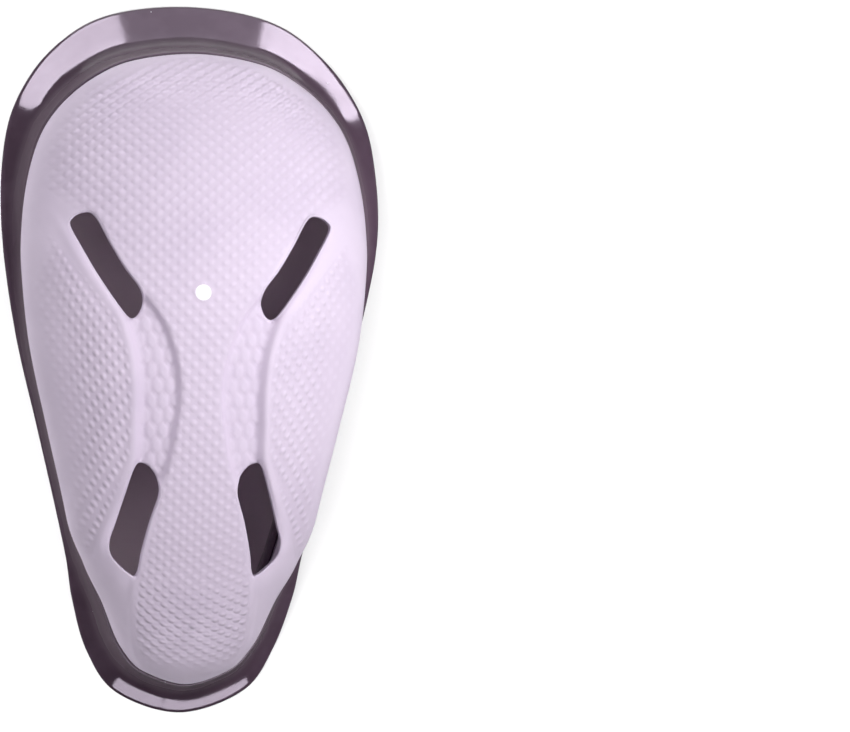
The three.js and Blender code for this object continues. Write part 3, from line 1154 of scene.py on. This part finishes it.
    def _relief(self, base: Array, spread: Array, depth: Array) -> tuple[Array, dict[str, Array]]:
        """Raised work over the dome and the channels.

        The grip texture is a lattice of round buttons, one at each crossing of its two sets of rows. A
        place's distance from its button is the root of the squares of its steps to the nearest whole
        counts, and a weight below 1 shortens a step, which draws the button out that way. The channel
        floor has six-sided pads, the centre stands a step above the smooth sides below the lower slots,
        and a low disc stands on the crown.

        Args:
            base: Points of the plain dome.
            spread: Their arc lengths.
            depth: Depth of the channel there.

        Returns:
            Heights, and by name what the finish reads at each point.
        """
        across, along = np.abs(base[:, 0]), base[:, 1]
        (centre,) = look_up(CENTRE_REACH, along)
        panel_in, panel_out = look_up(PANEL_REACH, along)
        (beyond,) = look_up(FAINT_REACH, along)
        open_floor = 1.0 - ease(depth, 0.0, 0.5 * self.channel_depth)
        border = self.centre_border + self.wide_border * ease(along, *self.wide_border_along)
        on_centre = ease(across, centre, centre - border) * open_floor * ease(along, *self.centre_low_end)
        strong = ease(across, panel_out, panel_out - self.panel_fade)
        faint = ease(across, panel_out + beyond, panel_out + beyond - self.faint_fade)
        on_panel = (1.0 - self.faint_share) * strong + self.faint_share * faint
        on_panel *= ease(across, panel_in, panel_in + self.panel_border) * open_floor
        first, second = self._grip_rows(base, across > 0.5 * (centre + panel_in))
        drawn = on_panel <= on_centre
        rise = 1.0 - self.rise_share * drawn * ease(along, *self.rise_along)
        fall = 1.0 - self.fall_share * drawn * ease(along, *self.fall_along)
        off_button = np.hypot(rise * (first - np.round(first)), fall * (second - np.round(second)))
        button = 1.0 - ease(off_button, 0.0, self.button_radius)
        _, centre_grip_height = look_up(GRIP_ROWS, along)
        grip = centre_grip_height * on_centre + self.panel_grip_height * on_panel
        height = self.moulded_share * grip * (button - self.button_level)
        floor = ease(depth / self.channel_depth, *self.channel_floor)
        pad = self._pads(spread)
        height += self.pad_height * floor * (pad - 0.5)
        height += self._panel_edge(across, along, open_floor)
        low, high = (ease(along, *end) for end in self.step_ends)
        start, end = (centre + past for past in self.step_past)
        height += self.step_height * ease(across, start, end) * low * high
        off_gate = np.hypot(base[:, 0] - self.finish.gate_centre[0], along - self.finish.gate_centre[1])
        disc = ease(off_gate, *(self.finish.gate_radius + past for past in self.gate_edge))
        height = height * (1.0 - disc) + self.gate_height * disc
        # Painted shade in the pads' grooves, stored for the finish.
        groove_shade = self.pad_groove_shade * (1.0 - pad) * floor
        stored = {"groove_shade": groove_shade, "first": first, "second": second, "grip": grip * (1.0 - disc)}
        return height, stored | {"rise": rise, "fall": fall, "outside": np.ones(len(base))}

    def _panel_edge(self, across: Array, along: Array, open_floor: Array) -> Array:
        """Raised border of the side panels.

        The crest is a bell curve of the distance to its line, wider on the panel, which swells beside it
        by another bell curve. Both fade at the line's ends.

        Args:
            across: Distances from the middle.
            along: Places along.
            open_floor: 1 off the channels, 0 in them.

        Returns:
            Heights.
        """
        crest = spline(np.array(PANEL_CREST), np.linspace(0.0, 1.0, self.crest_places), False)
        place, gap = nearest_on_line(np.stack([across, along], axis=1), crest, False)
        last = self.crest_places - 1
        fade = ease(place, 0.0, self.crest_fades[0]) * ease(place, last, last - self.crest_fades[1])
        (crest_across,) = look_up(crest[:, ::-1], along)
        on_panel = across > crest_across
        width = np.where(on_panel, self.crest_width_out, self.crest_width_in)
        signed = np.where(on_panel, gap, -gap)
        swell = np.exp(-(((signed - self.swell_middle) / self.swell_width) ** 2))
        swell *= ease(signed, *self.swell_start) * open_floor
        return fade * (self.crest_height * np.exp(-((gap / width) ** 2)) + self.swell_height * swell)

    def _grip_rows(self, base: Array, on_panel: Array) -> tuple[Array, Array]:
        """Counts of the grip texture's two crossing sets of rows.

        On the centre they are the sum and the difference of rows counted along the guard, the running sum
        of the table's rows to the millimetre, and columns counted across it. Towards the narrow end the rows
        bow up to the sides. On a panel they are half the sum and half the difference of columns that lean
        with the panel's taper and rows that fall towards the middle.

        Args:
            base: Points of the plain dome.
            on_panel: Which of them count as a panel's.

        Returns:
            The two counts, whole at a button's middle.
        """
        across, along = np.abs(base[:, 0]), base[:, 1]
        fine = np.linspace(-90.0, 90.0, 1801)
        rows_per_mm, _ = look_up(GRIP_ROWS, fine)
        running = np.cumsum(rows_per_mm) * (fine[1] - fine[0])
        bow = self.row_bow * across**2 * ease(along, *self.row_bow_along)
        rows = np.interp(along - bow, fine, running)
        columns = self.columns_per_mm * base[:, 0]
        lean_from, lean, lean_bow = self.panel_lean
        above = along - lean_from
        panel_columns = self.panel_columns_per_mm * (across - lean * above + lean_bow * above**2)
        panel_rows = self.panel_row_fall * across - self.panel_rows_per_mm * along
        first = np.where(on_panel, 0.5 * (panel_columns + panel_rows), rows + columns)
        second = np.where(on_panel, 0.5 * (panel_columns - panel_rows), rows - columns)
        return first, second

    def _pads(self, spread: Array) -> Array:
        """Six-sided pads in staggered rows, 1 on a pad and 0 in the groove between two.

        Two staggered lattices of middles are tried. The groove lies where the nearest middle and the next
        are equally far, with lengths along the guard squeezed so that the six sides are alike.

        Args:
            spread: Arc lengths across and along.

        Returns:
            Heights from 0 to 1.
        """
        tall = np.sqrt(3.0)
        x = np.abs(spread[:, 0]) / self.pad_across
        y = spread[:, 1] / self.pad_along * (tall / 2.0)
        gaps = []
        for shift in (0.0, 0.5):
            row = np.round((y - shift * tall) / tall) * tall + shift * tall
            column = np.round(x - shift) + shift
            for side in (-1.0, 0.0, 1.0):
                gaps.append(np.hypot(x - column - side, y - row))
        order = np.sort(np.stack(gaps), axis=0)
        return ease(order[1] - order[0], 0.0, self.pad_groove)

    def _edge_wall(self, ring: Ring) -> Array:
        """Rows of points below the widest line: in to the seam, down into the rim's groove, and up inside.

        Args:
            ring: The guard's sections at the line's points.

        Returns:
            Points, one row for each line round the shell.
        """
        drop = ring.widest - ring.seam
        face = ring.flare + ring.tuck
        back = face + self.wall
        foot = ring.seam - ring.grip
        soft = self.foot_round
        tucked = [ring.flare + share * ring.tuck for share in (0.08, 0.3, 0.62)]
        dropped = [ring.widest - share * drop for share in (0.22, 0.5, 0.75)]
        back_up = ring.flare + 0.4 * ring.tuck + self.wall
        inward = [*tucked, face, face, face + soft, back - soft, back, back, back_up]
        height = [*dropped, ring.seam, foot + soft, foot, foot, foot + soft, ring.seam, dropped[1]]
        return ring.points(np.stack(inward), np.stack(height))

    def _slot_wall(self, border: Border, place: Array, upward: Array, depth: Array) -> Array:
        """Rows of points in a slot: a quarter round over its lip, straight down, a quarter round inside.

        Args:
            border: The slot's lip and its own outline.
            place: Places on the lip.
            upward: Upward part of the outward directions there.
            depth: Depth of the channel there.

        Returns:
            Points, one row for each line round the slot.
        """
        lip, core = on_line(border.line, place), on_line(border.core, place)
        turn = np.radians([18.0, 36.0, 54.0, 72.0, 90.0])
        over = np.sin(np.concatenate([turn, turn[::-1], turn[:1]]))
        down = self.lip_radius * (1.0 - np.cos(turn))
        up = self.wall - self.inner_lip_radius * (1.0 - np.cos(turn[::-1]))
        up = np.append(up, self.wall - 0.01)
        sunk = np.vstack([depth + down[:, None], np.repeat(up[:, None], len(depth), axis=1)])
        sunk = np.minimum(sunk, self.wall)
        flat = lip[None] + (core - lip)[None] * over[:, None, None]
        surface = self.dome.surface(flat.reshape(-1, 2)).reshape(*flat.shape[:2], 3)
        surface[..., 2] -= sunk / np.maximum(upward, self.least_upward)
        return surface


@dataclass
class Rim:
    """The dark flexible rim: a flared skirt with a bead at its foot and a groove that holds the shell."""

    outline: Outline
    finish: RubberFinish
    wall: float = 3.0
    around: int = 560
    bead_lines: int = 15
    skirt_lines: int = 34
    lip_lines: int = 8
    under_lines: int = 12
    bead: float = 1.6
    foot: float = 2.8
    lip_thick: float = 1.1
    lip_round: float = 0.5
    lip_rise: float = 1.0
    inner_lip_thick: float = 1.5
    inner_lip_high: float = 2.5
    inner_lip_round: float = 0.3
    floor_under_groove: float = 2.2
    underside_rise: float = 0.6
    skirt_straightness: float = 0.39
    skirt_power: float = 8.0
    low_skirt_power: float = 5.0
    low_skirt_along: Span = (-50.0, -70.0)
    skirt_crowding: float = 1.7
    under_straightness: float = 0.85
    under_power: float = 3.0
    groove_gap: float = 0.3
    lip_gap: float = 0.05
    lip_hug: Table = ((0.0, 1.0), (0.25, 0.62), (0.5, 0.3), (0.78, 0.08), (1.0, 0.0))
    matt_band: Span = (-5.0, -2.0)

    def build(self) -> bpy.types.Object:
        """Builds and dresses the rim.

        Returns:
            The finished object.
        """
        ring = self.outline.ring(np.arange(self.around) / self.around)
        inward, height = self._section(ring)
        maker = MeshMaker()
        number = maker.add_points(ring.points(inward, height))
        right, up = np.roll(number, -1, axis=1), np.roll(number, -1, axis=0)
        faces = np.stack([number, up, np.roll(up, -1, axis=1), right], axis=-1).reshape(-1, 4)
        maker.add_faces(faces)
        made, kept = maker.build("guard_rim")
        # Mask by the shell, where the finish turns matt and lighter with painted bounce light.
        by_shell = ease(inward - ring.flare - ring.tuck, *self.matt_band)
        add_attribute(made, "by_shell", by_shell.ravel()[kept])
        made.data.materials.append(self.finish.make())
        return made

    @staticmethod
    def _sweep(share: Array, straightness: float, power: float | Array) -> Array:
        """A rise from 0 to 1 that starts gently and ends steeply: a straight part plus a part to a power."""
        return straightness * share + (1.0 - straightness) * share**power

    def _section(self, ring: Ring) -> tuple[Array, Array]:
        """The rim's closed section all the way round.

        From the foot it goes out round the bead, a circle that leaves at the skirt's slope, up the skirt to
        the lip, over the lip's round top, down along the shell into the groove, over the inner lip and back
        along the underside.

        Args:
            ring: The guard's sections.

        Returns:
            Distances in from the outer edge and heights, one row for each line round the rim.
        """
        drop = ring.widest - ring.seam
        rise = np.minimum(0.5 * drop, self.lip_rise)
        (under,) = look_up(self.lip_hug, rise / drop)
        lip_top = ring.seam + rise
        lip_hug = ring.flare + ring.tuck * under - self.lip_gap
        lip_in = ring.flare + ring.tuck - self.lip_gap
        groove_out = ring.flare + ring.tuck - self.groove_gap
        groove_in = ring.flare + ring.tuck + self.wall + self.groove_gap
        groove_floor = ring.seam - ring.grip - self.groove_gap
        inner_edge = groove_in + self.inner_lip_thick
        lip_edge = groove_out - self.lip_thick
        lip_low = lip_top - self.lip_round
        inner_low = np.maximum(ring.lift + self.underside_rise, groove_floor - self.floor_under_groove)
        climb = (lip_low - ring.lift - 2.0 * self.bead) / np.maximum(lip_edge - self.bead, 0.2)
        leave = np.arctan2(1.0, self.skirt_straightness * climb)
        turn = -0.5 * np.pi + (leave + 0.5 * np.pi) * np.linspace(0.0, 1.0, self.bead_lines)[:, None]
        bead_in = self.bead * (1.0 - np.cos(turn))
        bead_up = ring.lift + self.bead * (1.0 + np.sin(turn))
        t = 1.0 - (1.0 - np.linspace(0.0, 1.0, self.skirt_lines)[1:, None]) ** self.skirt_crowding
        low_end = ease(ring.edge[:, 1], *self.low_skirt_along)
        power = self.skirt_power + (self.low_skirt_power - self.skirt_power) * low_end
        skirt_in = bead_in[-1] + (lip_edge - bead_in[-1]) * t
        skirt_up = bead_up[-1] + (lip_low - bead_up[-1]) * self._sweep(t, self.skirt_straightness, power)
        over = np.radians(np.linspace(12.0, 90.0, self.lip_lines))[:, None]
        lip_over = lip_edge + self.lip_round * (1.0 - np.cos(over))
        lip_up = lip_low + self.lip_round * np.sin(over)
        lip_side = np.stack([lip_hug - 0.15, lip_hug, lip_in, lip_in, groove_out])
        lip_side_up = np.stack([lip_top, lip_top - 0.1, ring.seam, ring.seam - 0.5, ring.seam - 0.8])
        soft = self.inner_lip_round
        top = groove_floor + self.inner_lip_high
        inner_lip = [groove_in, groove_in + soft, inner_edge - soft, inner_edge]
        rest_in = [groove_out, groove_in, *inner_lip, inner_edge]
        rest_up = [groove_floor, groove_floor, top - soft, top, top, top - soft, inner_low]
        s = np.linspace(1.0, 0.0, self.under_lines)[1:-1, None]
        under_in = self.foot + (inner_edge - self.foot) * s
        under_rise = self._sweep(s, self.under_straightness, self.under_power)
        under_up = ring.lift + (inner_low - ring.lift) * under_rise
        foot_in = np.full((1, len(ring.lift)), self.foot)
        inward = np.vstack([foot_in, bead_in, skirt_in, lip_over, lip_side, np.stack(rest_in), under_in])
        height = np.vstack([ring.lift, bead_up, skirt_up, lip_up, lip_side_up, np.stack(rest_up), under_up])
        return inward, height


LILAC = (1.0, 0.88, 1.06)


@dataclass(frozen=True)
class SoftBox:
    """A rectangular studio light that faces the guard.

    Azimuth turns from +Y towards +X and elevation is above the floor, in degrees. Sizes are in metres.
    """

    name: str
    azimuth: float
    elevation: float
    distance: float
    width: float
    height: float
    radiance: float
    reach: Reach
    colour: tuple[float, float, float] = (1.0, 1.0, 1.0)

    def build(self, floor: bpy.types.Collection) -> bpy.types.Object:
        """Adds the light. Its power is its radiance times its area times pi.

        Args:
            floor: The collection that a light for the floor alone falls on.

        Returns:
            The light.
        """
        data = bpy.data.lights.new(self.name, "AREA")
        data.shape = "RECTANGLE"
        data.size, data.size_y = self.width, self.height
        data.energy = self.radiance * np.pi * self.width * self.height
        data.color = self.colour
        turn, rise = np.radians([self.azimuth, self.elevation])
        toward = Vector((np.sin(turn) * np.cos(rise), np.cos(turn) * np.cos(rise), np.sin(rise)))
        made = bpy.data.objects.new(self.name, data)
        made.location = toward * self.distance
        made.rotation_euler = (-toward).to_track_quat("-Z", "Y").to_euler()
        made.visible_camera = False
        made.visible_diffuse = self.reach is not Reach.GLOSS
        made.visible_glossy = self.reach is Reach.GLOSS
        if self.reach is Reach.FLOOR:
            made.light_linking.receiver_collection = floor
        bpy.context.scene.collection.objects.link(made)
        return made


@dataclass
class Studio:
    """Floor, soft lights and the camera at the picture's angle."""

    outline: Outline
    floor_finish: FloorFinish = FloorFinish()
    floor_radius: float = 3.0
    floor_sides: int = 96
    shade_inset: float = 6.0
    behind_angle: float = 24.0
    surround: Colour = (0.62, 0.6, 0.64, 1.0)
    surround_strength: float = 0.51
    narrow_strength: float = 0.15
    dim_span: Span = (-0.9, 0.2)
    lens_pixels: float = 2628.5
    place: tuple[float, float, float] = (-58.14, 10.19, 634.91)
    yaw: float = 10.495
    pitch: float = -0.97
    roll: float = -0.788
    lights: tuple[SoftBox, ...] = (
        SoftBox("key_box", 73.0, 67.0, 0.2, 0.09, 0.09, 11.2, Reach.MATT),
        SoftBox("fill_box", -58.0, 26.0, 1.0, 0.5, 0.5, 2.9, Reach.MATT),
        SoftBox("floor_left_box", -105.0, 60.0, 1.2, 0.8, 0.8, 9.0, Reach.FLOOR),
        SoftBox("floor_top_box", 0.0, 90.0, 2.4, 10.0, 10.0, 1.6, Reach.FLOOR),
        SoftBox("upper_right_box", 30.5, 11.5, 0.85, 0.28, 0.2, 36.0, Reach.GLOSS, LILAC),
        SoftBox("upper_left_box", -20.0, 12.8, 0.85, 0.3, 0.27, 29.0, Reach.GLOSS, LILAC),
        SoftBox("back_box", 5.5, 14.0, 0.95, 0.5, 0.46, 4.5, Reach.GLOSS, LILAC),
        SoftBox("front_right_box", 162.2, 21.0, 0.85, 0.70, 0.25, 21.0, Reach.GLOSS, LILAC),
        SoftBox("front_left_box", -161.3, 21.0, 0.87, 0.37, 0.25, 21.0, Reach.GLOSS, LILAC),
    )

    def build(self) -> None:
        """Builds the floor, the surround, the lights and the camera."""
        floor = self._floor()
        self._surround()
        bpy.context.scene.view_settings.view_transform = "Standard"
        for light in self.lights:
            light.build(floor)
        self._camera()

    def _surround(self) -> None:
        """Makes the even surround, which dims towards the side of the guard's narrow end."""
        world = bpy.data.worlds.new("studio")
        world.use_nodes = True
        nodes, links = world.node_tree.nodes, world.node_tree.links
        back = nodes["Background"]
        back.inputs["Color"].default_value = self.surround
        parts = nodes.new("ShaderNodeSeparateXYZ")
        links.new(nodes.new("ShaderNodeTexCoord").outputs["Generated"], parts.inputs[0])
        strength = nodes.new("ShaderNodeMapRange")
        ranges = (*self.dim_span, self.narrow_strength, self.surround_strength)
        for key, value in zip(("From Min", "From Max", "To Min", "To Max"), ranges):
            strength.inputs[key].default_value = value
        links.new(parts.outputs["Y"], strength.inputs["Value"])
        links.new(strength.outputs["Result"], back.inputs["Strength"])
        bpy.context.scene.world = world

    def _floor(self) -> bpy.types.Collection:
        """Adds a flat round floor at height zero, which isn't part of the guard, in three pieces.

        One lies under the guard, inside its outline moved in. From that line the other two run straight out
        to a circle, one behind the wide end and one round the rest. Only the one behind shows in the rim.

        Returns:
            A collection that holds the open floor alone.
        """
        count = self.floor_sides
        ring = self.outline.ring(np.arange(count) / count)
        near = ring.points(np.full(count, self.shade_inset), np.zeros(count))
        far = near / np.linalg.norm(near, axis=1, keepdims=True) * self.floor_radius / MM
        alone = bpy.data.collections.new("floor_alone")
        under = MeshMaker()
        under.add_faces(under.add_points(near)[None, ::-1])
        made, _ = under.build("studio_floor_under")
        # The piece under the guard takes the darker finish of painted shade.
        made.data.materials.append(self.floor_finish.make(True))
        behind = np.abs(np.arctan2(near[:, 0], near[:, 1])) < np.radians(self.behind_angle)
        open_finish = self.floor_finish.make(False)
        for name, part in (("studio_floor_behind", behind), ("studio_floor", ~behind)):
            maker = MeshMaker()
            inner, outer = maker.add_points(near), maker.add_points(far)
            faces = np.stack([inner, np.roll(inner, -1), np.roll(outer, -1), outer], axis=1)
            maker.add_faces(faces[part])
            made, _ = maker.build(name)
            made.data.materials.append(open_finish)
            made.visible_glossy = part is behind
            alone.objects.link(made)
        return alone

    def _camera(self) -> None:
        """Adds the camera: its axes are worked out from yaw, pitch and roll, looking down."""
        yaw, pitch, roll = np.radians([self.yaw, self.pitch, self.roll])
        ahead = np.array([np.sin(yaw) * np.cos(pitch), np.sin(pitch), -np.cos(yaw) * np.cos(pitch)])
        right = np.cross(ahead, [0.0, 1.0, 0.0])
        right /= np.linalg.norm(right)
        up = np.cross(right, ahead)
        right, up = right * np.cos(roll) - up * np.sin(roll), up * np.cos(roll) + right * np.sin(roll)
        turned = Matrix(np.stack([right, up, -ahead], axis=1).tolist()).to_4x4()
        data = bpy.data.cameras.new("camera")
        data.sensor_fit = "HORIZONTAL"
        data.sensor_width = 36.0
        data.lens = self.lens_pixels * data.sensor_width / PICTURE_WIDTH
        data.clip_start, data.clip_end = 0.01, 20.0
        made = bpy.data.objects.new("camera", data)
        made.matrix_world = Matrix.Translation(Vector(self.place) * MM) @ turned
        bpy.context.scene.collection.objects.link(made)
        bpy.context.scene.camera = made


def report(made: bpy.types.Object) -> None:
    """Logs a piece's name, its triangles and its size.

    Args:
        made: The piece.
    """
    made.data.calc_loop_triangles()
    size = [round(value / MM, 1) for value in made.dimensions]
    LOG.info("%s: %d triangles, size %s mm", made.name, len(made.data.loop_triangles), size)


def main() -> None:
    """Loads the frame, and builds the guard's pieces and the studio."""
    logging.basicConfig(level=logging.INFO, format="%(name)s: %(message)s")
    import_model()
    outline = Outline()
    shell = Shell(outline, Dome(outline), PlasticFinish()).build()
    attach(shell, "root")
    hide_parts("shell")
    rim = Rim(outline, RubberFinish()).build()
    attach(rim, "root")
    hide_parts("rim")
    Studio(outline).build()
    bpy.context.view_layer.update()
    for made in (shell, rim):
        report(made)


if __name__ == "__main__":
    main()
